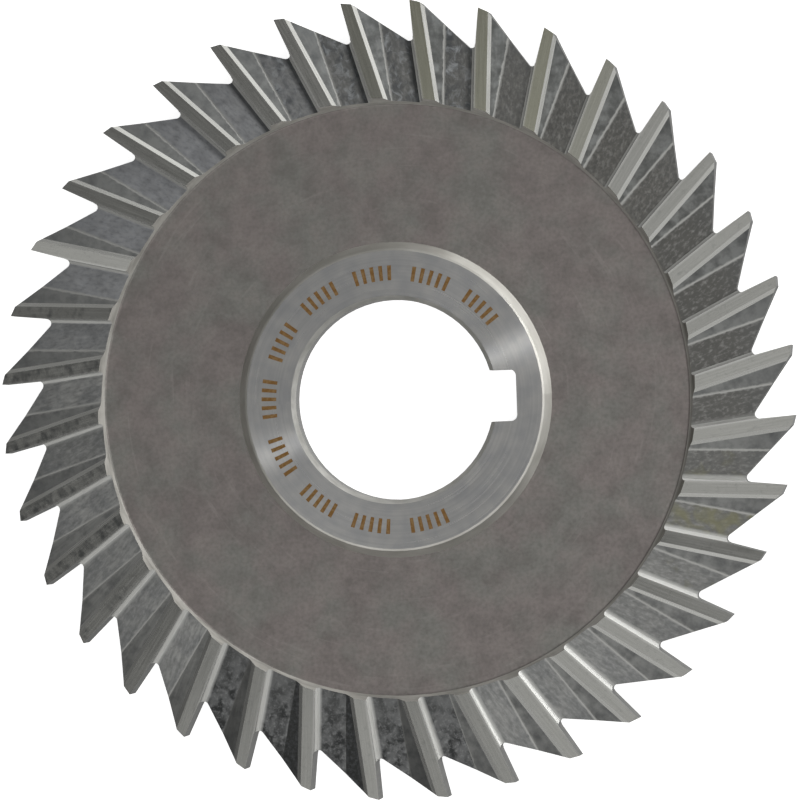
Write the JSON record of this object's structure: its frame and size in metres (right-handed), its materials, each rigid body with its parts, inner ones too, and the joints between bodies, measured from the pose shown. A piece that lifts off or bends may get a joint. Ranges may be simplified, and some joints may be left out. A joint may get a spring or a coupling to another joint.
{
  "type": "side milling cutter",
  "caption": "Thin steel disc cutter with sloping teeth on its rim and both sides, a dished web, a flat hub, and a keyed bore for a milling arbor.",
  "frame": {"origin": "on the bore axis, in the middle of the cutter's width", "axes": "+Z along the bore axis, +X towards the keyway; the teeth cut counter-clockwise seen from +Z"},
  "size_m": [0.1014, 0.1014, 0.004],
  "materials": {
    "high_speed_steel": "ground hub face and tooth lands, dull milled gashes and a dark, heat-toned web"
  },
  "bodies": {
    "root": {"side_milling_cutter": "high_speed_steel"}
  },
  "joints": []
}
